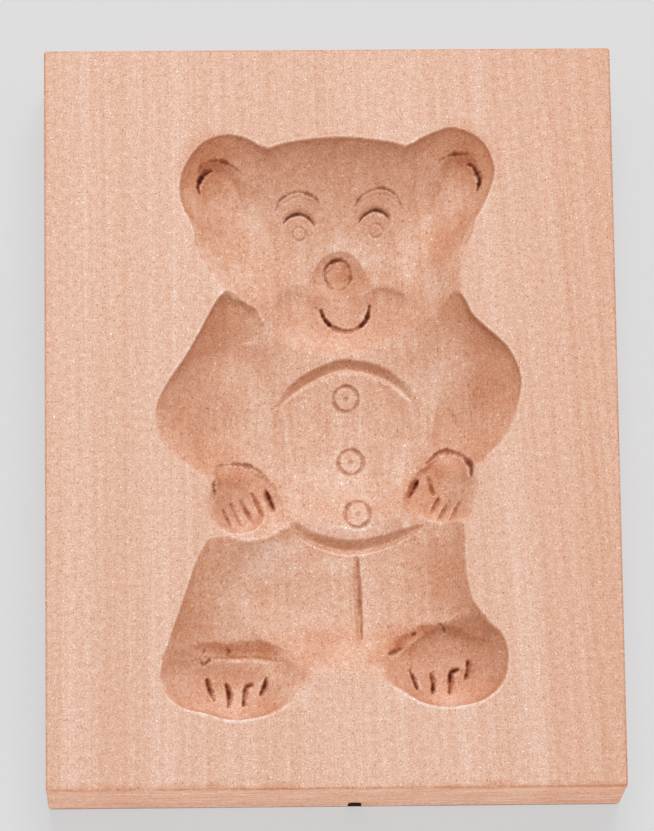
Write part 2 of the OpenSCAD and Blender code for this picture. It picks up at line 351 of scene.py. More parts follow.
def arms(c):
    c.hollow((-11, -8), [
        (-18.4, 21.8, 0.55), (-20, 19.9, 0.55), (-22.7, 14.9, 0.6), (-25.5, 10, 0.65), (-28.4, 5.8, 0.7),
        (-30.3, 2, 0.8), (-30.7, -1.2, 0.95), (-30, -4.4, 1.2), (-28, -7.5, 1.5), (-24.8, -9.9, 1.7),
        (-21.3, -12.8, 1.9), (-19, -22, 1.9), (-11, -24), (-2, -20), (1, -10), (-2, 4), (-4, 17),
        (-7, 23.5), (-12, 25.5), (-16, 23.6, 0.6)], depth=5.4, edge=0.75)
    c.hollow((17, -8), [
        (23.2, 20.9, 0.55), (24.7, 17.8, 0.55), (26.3, 16, 0.55), (28.5, 14, 0.55), (31, 11.5, 0.6),
        (32.7, 8, 0.6), (33.2, 5, 0.65), (32.8, 2, 0.9), (31.8, -1.9, 1.2), (30, -5.2, 1.5),
        (27.2, -8.2, 1.8), (25, -11.2, 2.1), (22, -22, 2), (15, -23), (7, -18), (6, -6), (8, 10),
        (12, 21), (16, 24.5), (20, 23.4, 0.6)], depth=5.6, edge=0.75)
    c.shelf((23, -3), [
        (20.5, 8, FADE), (19, 3.5, 4), (18, -1, 2.5), (17.6, -4, 2.5), (18.2, -7, 3), (22, -10, FADE),
        (27, -6, FADE), (29, 0, FADE), (26, 8, FADE)], depth=0.5, wall=2.5)
    c.shelf((-18, -4), [
        (-22, 6, FADE), (-24.5, 0, 5), (-24, -5, 2), (-23.2, -8.5, 2), (-19, -12, FADE), (-13, -10, FADE),
        (-12.5, 0, FADE), (-16, 8, FADE)], depth=0.4, wall=2)
    c.shelf((-16.5, 13), [
        (-18.6, 21.4, 2), (-16.6, 20.8), (-14.6, 20.2), (-12.9, 19.3), (-11.8, 17.4, 2), (-10.6, 14, 5),
        (-9.5, 9, FADE), (-13, 3, FADE), (-20, 3, FADE), (-26, 7, FADE), (-23, 13, FADE),
        (-20.5, 17.5, 8)], depth=0.6, wall=1.6, rough=0.2, seed=8.0)
    c.shade_patch((-25, -2), [(-33, -2), (-29, 5), (-21, 6), (-18, -2), (-18, -10), (-26, -10)], 0.07)
    c.shade_patch((22, -3), [(29, 1), (25, 6), (17, 2), (15, -6), (19, -9), (26, -6)], 0.07)
    c.shade_patch((-17.5, 17), [(-21, 22), (-24, 15), (-20, 8), (-12, 10), (-10, 17), (-14, 23)], 0.09)
    c.shade_patch((21, 18), [(23, 22), (29, 17), (25, 12), (19, 13), (14, 16), (16, 22)], 0.06)
    c.patches((
        ((-17, -6.5), (12, 9), 0.06), ((-27, 0.5), (8, 8), 0.08), ((28, 4.5), (12, 12), 0.18),
        ((21, 8), (8, 16), -0.06), ((27, 11), (11, 12), 0.08), ((15.5, -7.5), (8, 6), 0.1)))


def legs(c):
    c.hollow((2.5, -35), [
        (-23, -26, 1), (-25.2, -30.5, 0.7), (-26.7, -35, 0.7), (-28.6, -40.7, 0.8), (-29.5, -44, 1),
        (-24, -47, 1.2), (-12, -47.5, 1.7), (-4, -46.8, 2.3), (1, -46.6, 2.5), (6, -47, 2.3),
        (14, -47, 1.7), (24, -45, 1.1), (28.5, -40, 0.9), (26.8, -37.2, 0.9), (25.2, -35, 0.9),
        (24, -33.2, 0.9), (23.3, -30, 0.9), (22.9, -25, 0.9), (22.7, -20, 0.9), (20, -8), (8, 0),
        (-6, 0), (-10, -12, 1), (-13, -20, 1), (-18, -23.8, 1)], depth=5.2, edge=0.8, blend=0.5)
    c.hollow((-16.5, -46), [
        (-21.3, -22.3, 0.85), (-22.6, -24, 0.85), (-24.1, -27, 0.85), (-25.2, -30.5, 0.85),
        (-26.7, -35, 0.85), (-28.6, -40.7, 0.9), (-28.5, -48, 1), (-17, -52, 1), (-5, -48, 1.2),
        (-3, -41, 1.2), (-3, -33, 1.3), (-5, -27, 1.4), (-8, -23.5, 1.3), (-12, -21.9, 1),
        (-17, -22, 0.85)], depth=4.3, edge=1, blend=0.5)
    c.shade_patch((19, -28), [(24, -28), (23, -20), (15, -21), (12, -29), (15, -37), (23, -36)], 0.1)
    c.patches((
        ((-12, -26), (17, 10), -0.17), ((-10, -23.2), (14, 5), -0.14), ((-4, -40), (11, 9), 0.12),
        ((-16, -32), (20, 18), -0.04), ((0, -26.5), (12, 5), -0.1), ((9, -27), (11, 7), -0.02),
        ((-11, -40), (12, 7), 0.05), ((3, -46), (16, 14), 0.03), ((2, -38.5), (18, 8), 0.07),
        ((11, -39), (12, 8), 0.12), ((-23, -37), (13, 10), 0.06)))


def feet(c):
    c.hollow((-17, -48.5), [
        (-28.6, -40.5), (-30.1, -45.5), (-29.8, -48.2, 1.1), (-28.5, -50.5, 1.1), (-26, -52, 0.9),
        (-22, -52.9, 0.7), (-19.5, -53.7, 0.6), (-16.5, -54, 0.6), (-12, -53.3, 0.9), (-8, -51.6, 1.6),
        (-5, -49, 2.2), (-3, -46.2, 2.4), (-3.2, -43.2, 1.8), (-7, -39.5, 1), (-16, -36, 1),
        (-25, -37.5, 1)], depth=5.1, edge=0.9)
    c.hollow((19.3, -46.5), [
        (12, -49.6, 1.1), (8.6, -47.8, 1.8), (6.2, -45.2, 2), (5.6, -42.5, 1.4), (8.5, -38, 0.8),
        (17, -34, 0.8), (23, -34.5, 0.9), (25.3, -35.4), (27, -37.6), (28.7, -39), (29.8, -41.5),
        (30, -44.5), (29.2, -47.6, 1), (27, -50, 0.9), (24, -51.4, 0.6), (19, -52, 0.6),
        (15, -51.2, 0.7)], depth=5.2, edge=0.9)
    c.shelf((-16, -47), [
        (-24.3, -40.6), (-22.3, -39.8), (-20.5, -39.9), (-18.7, -40), (-16.4, -39.6), (-14.2, -39.5),
        (-11.1, -40), (-8, -41.5, 3), (-5.3, -43, 8), (-2, -48, FADE), (-8, -56), (-17, -58), (-27, -56),
        (-31, -46, FADE)], depth=0.5, wall=2.6, rough=0.3, seed=3.0)
    c.shelf((18.5, -45), [
        (8.5, -43.2, 2), (9.6, -41.4), (11.4, -39.3), (14, -37.6), (16.2, -37.1), (18.5, -37),
        (21.2, -37.7), (24.4, -39.3, 2.5), (31, -43, FADE), (30, -52), (19, -55), (9, -53, FADE),
        (7, -47, FADE)], depth=0.6, wall=2.3, rough=0.3, seed=4.0)
    c.cut(smooth([(-22.6, -42.5), (-18.7, -42.6), (-14.2, -42.6), (-10.7, -43.2), (-7.2, -43.8)]),
          width=0.9, depth=0.2, dark=0.0, taper=0.4, rough=0.6, seed=5.0)
    c.cut([(-23.4, -42.4), (-22.7, -43.9), (-21.4, -42.7)],
          width=0.7, depth=0.3, dark=0.7, taper=0.3, rough=0.8, seed=6.0)
    c.cut(smooth([(-22.9, -40.2), (-22.4, -41.1), (-22.7, -42)]),
          width=0.6, depth=0.2, dark=0.15, taper=0.3, rough=0.6, seed=7.0)
    c.cut(smooth([(-18.8, -40.6), (-18.3, -41.4), (-18.6, -42.3)]),
          width=0.5, depth=0.2, dark=0.35, taper=0.3, rough=0.6, seed=7.5)
    c.cut(smooth([(9.4, -42.4), (10.7, -41.8), (12, -41)]),
          width=0.9, depth=0.3, dark=0.5, taper=0.4, rough=0.6, seed=8.0)
    c.cut([(13.5, -38.9), (14.2, -38.5)],
          width=0.8, depth=0.3, dark=1.0, taper=0.3, rough=0.4, seed=9.0)
    c.cut(smooth([(18.2, -37), (18.9, -37.7), (19.3, -38.6)]),
          width=0.8, depth=0.4, dark=0.7, taper=0.4, rough=0.6, seed=10.0)
    c.patches((
        ((-26, -48), (9, 10), -0.05), ((-14, -50.5), (12, 6), 0.02), ((-12, -47), (13, 5), -0.06),
        ((-6, -43.5), (9, 7), 0.08), ((-19, -41.1), (11, 4), 0.2), ((-13, -41.4), (14, 4), 0.18),
        ((-18, -46), (17, 6), 0.07), ((11, -40.6), (6, 3.4), 0.26, 50), ((15.2, -38.4), (9, 4), 0.26, 20),
        ((20.8, -38.6), (8, 3.2), 0.06, -15), ((-7.5, -49.5), (9, 7), -0.09), ((13, -50.3), (8, 4), -0.05),
        ((8, -43), (7, 7), 0.12), ((11.5, -41), (9, 6), 0.1), ((20, -46.8), (14, 7), 0.12)))


def hands(c):
    c.hollow((-14.2, -16.5), [
        (-21.4, -11, 1.8), (-22.2, -15, 2), (-21.6, -19, 1.8), (-17.8, -21.2, 0.8), (-14, -21, 0.6),
        (-10.8, -19, 0.7), (-8.4, -15, 0.8), (-6, -9), (-8, -3), (-16, -1), (-20.8, -5)],
        depth=4.4, edge=0.9)
    c.hollow((18, -15.5), [
        (25.4, -10, 2), (25.8, -14.5, 2.2), (24, -18.8, 1.8), (19.5, -20.2, 0.8), (16, -19.6, 0.6),
        (12.8, -17.6, 0.7), (10.8, -13.5, 0.8), (9.5, -8), (13, -2), (20.5, 0), (24.8, -4)],
        depth=4.4, edge=0.9)
    c.shelf((-15, -15), [
        (-20.3, -9.2), (-17, -8.5), (-14, -8.8), (-11.3, -10.4), (-9.4, -13, 2), (-8.4, -18, 3),
        (-12, -23, FADE), (-19, -23, FADE), (-20.8, -16, FADE), (-20.2, -12.5, 1.5)],
        depth=0.5, wall=1.2, rough=0.2, seed=5.0)
    c.shelf((18.5, -13.5), [
        (13.6, -11.5, 2), (16.6, -8.4), (19.2, -6.3), (21.7, -6.6), (23.7, -8.6), (24.4, -11.6, 3),
        (26, -17, FADE), (19.5, -23, FADE), (12, -19, 3)], depth=0.5, wall=1.2, rough=0.2, seed=6.0)
    c.shade_patch((-13.2, -13), [(-18.5, -10), (-18, -16.5), (-14, -20), (-8.5, -18.5), (-7, -12), (-12, -7)],
             0.1)
    c.shade_patch((16, -13), [(21, -8), (21, -16), (17.5, -20), (11, -18), (10.5, -11), (16.5, -6)], 0.22)
    c.patches((((23, -14), (6, 11), -0.1), ((-16.5, -11), (9, 6), 0.16), ((18.5, -9), (7, 5), 0.1)))


def muzzle(c):
    c.shelf((2.5, 14.5), [
        (2.5, 22.5, FADE), (-2, 23.6, 10), (-6.2, 23.1, 5), (-9.4, 20.8, 4), (-12, 15, FADE),
        (-8, 9, FADE), (2.5, 7.5, FADE), (13, 9, FADE), (17.5, 14.5, FADE), (15.3, 20.9, 9),
        (12.2, 23.2, 7), (9.2, 24.2, 7), (6.4, 23.8, 10)], depth=0.5, wall=2)
    c.shelf((2, 22), [
        (2, 30.6), (-0.7, 29.6), (-2.3, 27.6), (-3.4, 25, 3), (-6, 18, FADE), (2, 11, FADE),
        (10, 18, FADE), (7.2, 25, 3), (6, 27.6), (4.6, 29.6)], depth=0.6, wall=2.6)
    c.shelf((1.8, 26.6), oval((1.8, 26.5), (4.6, 5.6)), depth=0.4, wall=1.0, rough=0.12, seed=7.0)
    c.shade_patch((2.5, 19), [
        (2.5, 29), (-6, 24), (-11, 18), (-5, 13), (2.5, 12), (11, 13), (16, 18), (11, 24)], 0.08)
    c.shade_patch((2.2, 27.4), oval((2.2, 27.2), (6.5, 6.5)), 0.22)
    c.shade_patch((3.2, 25), oval((3.2, 25), (9, 8)), 0.12)
    c.cut(smooth([(6, 21.6), (8.6, 22.2), (11.4, 21.5), (13.8, 20)]),
          width=3.4, depth=0.12, dark=0.1, lean=0.6)
    c.cut(smooth([(-9.2, 20.4), (-6.4, 22.5), (-3.4, 23.5)]),
          width=3.6, depth=0.12, dark=0.15, lean=0.3)


# Knife work on the figure

# A stroke's soft groove: its depth and its painted shade; its thin cut: width and depth
GROOVE_DEPTH = 0.5
GROOVE_DARK = 0.2
CUT_WIDTH = 0.55
CUT_DEPTH = 0.4


def stroke(c, path, width, dark, seed, shift=0.0, soft=1.0):
    """Soft groove with painted shade and a thin cut with deeper painted shade in it, so far to the right
    of its middle.
    """
    path = smooth(path)
    c.cut(path, width, GROOVE_DEPTH * soft, GROOVE_DARK * soft, taper=0.3, rough=0.3, seed=seed)
    c.cut(path + np.array((shift, 0)), CUT_WIDTH, CUT_DEPTH, dark, taper=0.25, rough=0.6, seed=seed + 0.5)


def ear_lines(c):
    for rim, slit, seed in (
            ([(-22.9, 43.6), (-22.1, 45.2), (-20.6, 45.9), (-19, 46), (-17.3, 45.4), (-15.8, 44.4),
              (-15, 43.5)],
             [(-22.5, 40), (-22.9, 41.3), (-22.4, 42.8), (-21.6, 43.8), (-20.3, 44.5)], 1.0),
            ([(26.2, 45.4), (24.9, 46.7), (23.6, 46.9), (22.3, 46.9), (21.2, 46.6), (19.9, 46),
              (19.3, 44.9)],
             [(26.2, 40.2), (26.7, 42.1), (26.1, 43.8), (25.5, 44.8), (24.5, 45.3)], 2.0)):
        c.cut(smooth(rim), width=0.7, depth=0.15, dark=0.5, taper=0.3, rough=0.9, seed=seed)
        c.cut(smooth(slit), width=1.2, depth=0.4, dark=0.3, taper=0.4, rough=0.5, seed=seed + 1)
        c.cut(smooth(slit), width=0.7, depth=0.3, dark=1.5, taper=0.4, rough=0.5, seed=seed + 2)


def eye_lines(c):
    under_lid = np.array((0, 0.3))
    for lid in ([(-8, 35.5), (-6.9, 36.7), (-5.1, 37.3), (-3.5, 36.7), (-2.3, 35.3)],
                [(5.3, 35.7), (6.3, 37), (8.1, 37.9), (9.8, 37.4), (10.9, 36.2)]):
        c.cut(smooth(lid), width=1.4, depth=0.2, dark=0.24, taper=0.3, lean=-0.3)
        c.cut(smooth(lid) - under_lid, width=0.7, depth=0.12, dark=1.6, taper=0.25, rough=0.3,
              seed=lid[0][0])
    under_brow = np.array((0, 0.9))
    for brow, seed in (([(-9.3, 37.1), (-8.4, 39.3), (-5.4, 40.8), (-2.3, 39.8), (-1, 37.6)], 3.0),
                       ([(4.7, 38.2), (6.2, 40.3), (9.2, 41.3), (11.7, 40.3), (13.3, 37.5)], 4.0)):
        c.cut(smooth(brow), width=0.6, depth=0.15, dark=0.55, taper=0.2, rough=0.6, seed=seed)
        c.cut(smooth(brow) - under_brow, width=0.5, depth=0.05, dark=0.15, rough=0.9, seed=seed + 3)
    for at in ((-5.1, 33.5), (8.4, 34)):
        c.cut(ring(at, (2.3, 2.4)), width=0.5, depth=0.15, dark=0.16, taper=0, rough=0.4)


def mouth_and_nose_lines(c):
    mouth = smooth([(-1.5, 20.3), (-0.8, 18.5), (0.7, 16.9), (3, 16.1), (5.1, 16.8), (6.6, 18.4),
                    (7.2, 20.9)])
    third = len(mouth) // 3
    c.cut(mouth, width=1.0, depth=0.6, dark=0.25, taper=0.2, rough=0.4, seed=5.0)
    for corner, seed in ((mouth[:third], 6.0), (mouth[-third:], 8.0)):
        c.cut(corner, width=0.8, depth=0.4, dark=1.3, taper=0.4, rough=0.5, seed=seed)
    c.cut(ring((1.7, 26.5), (4.4, 5.4)), width=0.6, depth=0.2, dark=0.25, taper=0, rough=0.8, seed=6.0)
    c.cut(arc((1.7, 26.6), 2.4, 60, 225), width=0.7, depth=0.3, dark=0.7, rough=0.7, seed=7.0)


def belly_lines(c):
    c.cut(smooth([(-9.8, 1.6), (-6.9, 4.7), (-3.7, 7.1), (-0.4, 8.75), (2.4, 9.45), (5.4, 9.2),
                  (8.2, 8.4), (10.7, 7), (12.8, 5.2), (14.4, 3.1), (15.7, -0.4)]),
          width=2.6, depth=0.4, dark=0.03, lean=-0.35, rough=0.1, seed=2.0)
    c.cut(smooth([(-8, -17.6), (-4.9, -20.9), (0.2, -22.7), (4.2, -23.1), (9.2, -22.1), (15.8, -19.6)]),
          width=2.8, depth=0.8, dark=0.1, lean=-0.3)
    for at, tall in (((2.7, 3.7), 4.5), ((3.4, -7.6), 4.4), ((4.4, -17.2), 4.9)):
        c.cut(ring(at, (4.3, tall)), width=0.75, depth=0.25, dark=0.3, taper=0, rough=0.45, seed=at[0])
        c.cut(ring(at, (0.4, 0.4)), width=0.6, depth=0.15, dark=0.2, taper=0)


def hand_lines(c):
    c.cut(smooth([(-20.4, -8.9), (-17, -8.2), (-14, -8.6), (-11.3, -10.3)]),
          width=0.9, depth=0.4, dark=0.35, taper=0.4, rough=0.6, seed=1.0)
    c.cut(smooth([(-20.3, -11.5), (-20.6, -13), (-20.3, -14.4)]),
          width=0.7, depth=0.3, dark=0.5, taper=0.4, rough=0.9, seed=3.0)
    c.cut(smooth([(16.6, -8.2), (19.2, -6.1), (21.7, -6.4), (23.9, -8.4), (24.1, -11.6)]),
          width=1.2, depth=0.7, dark=0.25, taper=0.3, rough=0.4, seed=2.0)
    c.cut(smooth([(23, -7.4), (24.1, -9.2), (24.2, -11.6)]),
          width=1.0, depth=0.4, dark=0.9, taper=0.4, rough=0.4, seed=4.0)
    for a, b in (((-19, -16.7), (-17.3, -19.9)), ((-17.6, -15.3), (-15.6, -19.4)),
                 ((-15.9, -14.5), (-13.7, -18.8)), ((-13.9, -13.2), (-12, -17.8)),
                 ((16.9, -10.2), (17.9, -14)), ((18.8, -14.4), (17.2, -17.5)),
                 ((20.6, -14.9), (18.6, -18.5)), ((22.3, -15.6), (20.2, -19.1))):
        stroke(c, [a, b], width=1.0, dark=0.24, seed=a[0], shift=-0.2, soft=0.45)
    for a, b in (((-11.7, -12.6), (-10.2, -16.7)), ((15, -10.9), (13.2, -14.4))):
        stroke(c, [a, b], width=1.5, dark=1.4, seed=a[0], shift=0.2)


def leg_lines(c):
    c.cut([(4, -24.4), (4.5, -40)], width=1.6, depth=0.45, dark=0.1, taper=0.3, lean=0.4)
    c.cut([(4.3, -25), (4.8, -39.6)], width=0.5, depth=0.2, dark=0.3, taper=0.3, rough=0.4, seed=3.0)
    for toe in ([(-22, -46), (-21.6, -47.8), (-20.6, -50)],
                [(-18.7, -46.8), (-18.2, -48.8), (-18.3, -51.2)],
                [(-14, -47.1), (-15.2, -47.5), (-15.6, -49.2), (-15.7, -51)],
                [(-11.8, -46), (-12, -47.4), (-12.9, -49.2)],
                [(13.1, -44.7), (13.8, -46.5), (14.5, -48.6)],
                [(16.8, -45.2), (17.2, -47), (17.1, -49.1)],
                [(21.8, -44.6), (20.4, -45.2), (20.2, -47), (20, -49.1)],
                [(23.3, -43.2), (23.2, -45), (22.7, -46.6)]):
        stroke(c, toe, width=1.3, dark=1.2, seed=toe[0][0], shift=-0.15)


def carve(xs, ys):
    """The whole figure: hollows first, then the lip round them, then the knife work."""
    c = Carving(xs, ys)
    for part in (head_and_ears, torso, legs, arms, hands, feet, muzzle):
        part(c)
    c.depth = soft_max(c.depth, 0, LIP_BLEND)
    for work in (ear_lines, eye_lines, mouth_and_nose_lines, belly_lines, hand_lines, leg_lines):
        work(c)
    return c


# The board's mesh

def grid_lines(half, low, high):
    """Grid lines from one arris to the other, close together over the figure."""
    fine = STEP_FINE
    left = np.linspace(-half + STEP_EDGE, low, round((low + half) / STEP_WIDE), endpoint=False)
    mid = np.linspace(low, high, round((high - low) / fine), endpoint=False)
    right = np.linspace(high, half - STEP_EDGE, round((half - high) / STEP_WIDE))
    return np.concatenate([[-half], left, mid, right, [half]])


def painted_light_and_shade_of(c):
    """Painted shade in the cut wood against the planed face: more on walls, and on slopes that fall to
    the feet, away from the key lamp; with the painted light and shade of the patches."""
    fall_y, fall_x = np.gradient(c.depth, c.Y[:, 0], c.X[0])
    slope = SIDE_SLOPE * np.abs(fall_x) + np.maximum(-fall_y, 0) + RISING_SLOPE * np.maximum(fall_y, 0)
    return 1 - np.exp(-slope / STEEP_SLOPE) + c.patch_shading / BROWN_OF_WALL_SHADE


def arris_profile():
    """Steps of the rim from the carved face over the arris, down the side and under: how far out, how
    high."""
    quarter = [math.radians(a) for a in ARRIS_STEPS]
    over = [(ARRIS * math.sin(a), BOARD_T - ARRIS * (1 - math.cos(a))) for a in quarter]
    under = [(push, BOARD_T - z) for push, z in reversed(over)]
    side = [(ARRIS, BOARD_T - ARRIS - STEP_EDGE), (ARRIS, ARRIS + STEP_EDGE)]
    return over + side + under + [(0, 0)]


def quads(*corners):
    """Faces between rows of places, given corner by corner."""
    return np.stack(corners, -1).reshape(-1, 4).tolist()


def mesh_piece(name, verts, polys, attributes):
    """Object with a smooth mesh of those places that its faces use."""
    used = np.zeros(len(verts), bool)
    for poly in polys:
        used[poly] = True
    number = np.cumsum(used) - 1
    mesh = bpy.data.meshes.new(name)
    mesh.from_pydata((verts[used] * MM).tolist(), [], [number[poly].tolist() for poly in polys])
    mesh.update()
    mesh.shade_smooth()
    mesh.set_sharp_from_angle(angle=math.radians(SHARP_ANGLE))
    for label, values in attributes.items():
        layer = mesh.attributes.new(label, "FLOAT", "POINT")
        layer.data.foreach_set("value", values[used].astype(np.float32))
    piece = bpy.data.objects.new(name, mesh)
    bpy.context.scene.collection.objects.link(piece)
    return piece


def board_piece(name):
    """The whole board as one closed mesh: carved face, eased arrises, sides with the notch, and back."""
    half_w = BOARD_W / 2 - ARRIS
    half_l = BOARD_L / 2 - ARRIS
    xs = grid_lines(half_w, *FIGURE_X)
    notch_sides = (NOTCH_X - NOTCH_W / 2, NOTCH_X + NOTCH_W / 2)
    start, stop = [int(np.abs(xs - x).argmin()) for x in notch_sides]
    xs[[start, stop]] = notch_sides
    ys = grid_lines(half_l, *FIGURE_Y)
    c = carve(xs - FIGURE_SHIFT[0], ys - FIGURE_SHIFT[1])
    face = np.stack([*np.meshgrid(xs, ys), BOARD_T - c.depth], -1).reshape(-1, 3)
    index = np.arange(len(face)).reshape(c.depth.shape)
    polys = quads(index[:-1, :-1], index[:-1, 1:], index[1:, 1:], index[1:, :-1])

    # Rim of the face, carried out over the arris, down the sides and under
    rim = np.concatenate([index[0, :-1], index[:-1, -1], index[-1, :0:-1], index[:0:-1, 0]])
    inner = face[rim]
    out = np.stack([np.where(np.abs(inner[:, 0]) > half_w - HAIR, np.sign(inner[:, 0]), 0),
                    np.where(np.abs(inner[:, 1]) > half_l - HAIR, np.sign(inner[:, 1]), 0)], 1)
    at_corner = np.abs(out).sum(1) > 1.5
    out[at_corner] *= math.sqrt(0.5)
    profile = arris_profile()
    verts = [face]
    # The carved face's tone is painted shade on walls, with the patches' painted light and shade
    tones_and_shades = [painted_light_and_shade_of(c).ravel()]
    loops = [rim]
    for k, (push, z) in enumerate(profile):
        loops.append(np.arange(len(rim)) + len(face) + k * len(rim))
        verts.append(np.column_stack([inner[:, :2] + out * push, np.full(len(rim), z)]))
        # Painted shade on the upper arris; the sides and ends keep their own deeper tone
        on_arris = 0 < push < ARRIS and z > BOARD_T / 2
        tones_and_shades.append(np.full(len(rim), ARRIS_SHADE if on_arris else END_TONE))
    wall = next(k for k, (push, z) in enumerate(profile) if z < BOARD_T / 2)

    # Arch of the notch, in the end and at its inner end
    span = np.arange(start, stop + 1)
    spring = NOTCH_H - NOTCH_W / 2
    high = spring + np.sqrt(np.maximum((NOTCH_W / 2) ** 2 - (xs[span] - NOTCH_X) ** 2, 0))
    arch = np.arange(len(span)) + len(face) + len(profile) * len(rim)
    deep = arch + len(span)
    heel = [deep[-1] + 1, deep[-1] + 2]
    end_y = -BOARD_L / 2
    verts.append(np.column_stack([xs[span], np.full(len(span), end_y), high]))
    verts.append(np.column_stack([xs[span], np.full(len(span), end_y + NOTCH_D), high]))
    verts.append(np.array([(xs[start], end_y + NOTCH_D, 0), (xs[stop], end_y + NOTCH_D, 0)]))
    tones_and_shades.append(np.full(len(span), END_TONE))
    # Inside of the notch painted dark: painted shadow in the hole
    tones_and_shades.append(np.full(len(span) + 2, NOTCH_SHADE))

    # Faces of the rim, open where the notch is, then the notch's own and the back
    for k, (last, this) in enumerate(zip(loops, loops[1:])):
        strip = quads(last, this, np.roll(this, -1), np.roll(last, -1))
        if k >= wall:
            strip[start:stop] = []
        if k == wall:
            strip[start - 1].insert(3, arch[0])
            strip[start].insert(1, arch[-1])
            strip += quads(last[span[:-1]], arch[:-1], arch[1:], last[span[1:]])
        polys += strip
    polys += quads(arch[1:], arch[:-1], deep[:-1], deep[1:])
    below = loops[wall + 1:]
    polys.append([arch[0]] + [loop[start] for loop in below] + [heel[0], deep[0]])
    polys.append([arch[-1], deep[-1], heel[1]] + [loop[stop] for loop in below[::-1]])
    polys.append(deep[::-1].tolist() + heel)
    under = loops[-1].tolist()
    polys.append((under[:start + 1] + heel + under[stop:])[::-1])

    verts = np.concatenate(verts)
    # Paler where the face stands above its surroundings: rubbed wear and a painted highlight along the
    # rims
    wear_and_highlight = np.zeros(len(verts))
    wear_and_highlight[:len(face)] = np.clip(blurred(c.depth, 2) - c.depth, 0, 1).ravel()
    shade = np.zeros(len(verts))
    shade[:len(face)] = c.shade.ravel()
    return mesh_piece(name, verts, polys, {"tone_and_shade": np.concatenate(tones_and_shades), "wear_and_highlight": wear_and_highlight, "shade": shade})


# Materials

class Nodes:
    """Short calls for building a material's node tree."""

    def __init__(self, name):
        self.material = bpy.data.materials.new(name)
        self.material.use_nodes = True
        self.tree = self.material.node_tree
        self.shader = self.tree.nodes["Principled BSDF"]

    def add(self, kind, outlet=0, inputs=(), **settings):
        node = self.tree.nodes.new(kind)
        for key, value in settings.items():
            setattr(node, key, value)
        for key, value in dict(inputs).items():
            self.feed(node.inputs[key], value)
        return node.outputs[outlet]

    def feed(self, socket, value):
        if isinstance(value, bpy.types.NodeSocket):
            self.tree.links.new(value, socket)
        else:
            socket.default_value = value

    def math(self, operation, a, b=0.0):
        return self.add("ShaderNodeMath", 0, {0: a, 1: b}, operation=operation)

    def mix(self, share, a, b):
        return self.add("ShaderNodeMix", 2, {0: share, 6: a, 7: b}, data_type="RGBA")

    def ramp(self, value, low, high, out_low=0.0, out_high=1.0):
        return self.add("ShaderNodeMapRange", 0, {0: value, 1: low, 2: high, 3: out_low, 4: out_high})

    def swing(self, value, amount, low=0.3, high=0.7):
        """From the amount, where the value is low, to as much below zero, where it is high."""
        return self.ramp(value, low, high, amount, -amount)

    def axis(self, vector, number):
        return self.add("ShaderNodeSeparateXYZ", number, {0: vector})

    def stretch(self, vector, x, y, z):
        return self.add("ShaderNodeVectorMath", 0, {0: vector, 1: (x, y, z)}, operation="MULTIPLY")

    def noise(self, vector, scale, detail, roughness=0.5):
        inputs = {"Vector": vector, "Scale": scale, "Detail": detail, "Roughness": roughness}
        return self.add("ShaderNodeTexNoise", 0, inputs)


# Beech runs from pale to brown along one line, and the painted shade in a knife cut along a greyer
# one: what each takes from red, green and blue
FACE_COLOUR = (230, 185.5, 161.5)
BROWNING = (0.94, 2.2, 3.15)
GROOVE_SHADE = (1.0, 1.45, 1.65)

# How much browner each mark in the wood makes it, or paler where it is below zero
SPECK_BROWN = 0.18
STREAK_BROWN = 0.05
BAND_BROWN = 0.02
MOTTLE_BROWN = 0.05
PORE_BROWN = 0.3
DUST_BROWN = -0.25
PAST_RING_BROWN = 0.03
BEFORE_RING_BROWN = -0.01
SAW_BROWN = 0.13
# Rubbed rims: wear and painted highlight
WEAR_AND_HIGHLIGHT_BROWN = -0.12
# Painted shade along the front arris
FRONT_SHADE_BROWN = 0.12

# One growth ring shows: where it crosses the middle of the board, how far it leans, and where the
# streaks begin to lean. Streaks are drawn out along the board.
RING_X = 32.3
RING_LEAN = 0.06
LEAN_STARTS = -10.0
STREAK_DRAW = 0.012

# Sheen of the wood, and the speckle's bump, its height in metres
BEECH_GLOSS = 0.2
BEECH_ROUGHNESS = (0.55, 0.7)
SPECK_BUMP = 0.25
SPECK_HEIGHT = 0.00008


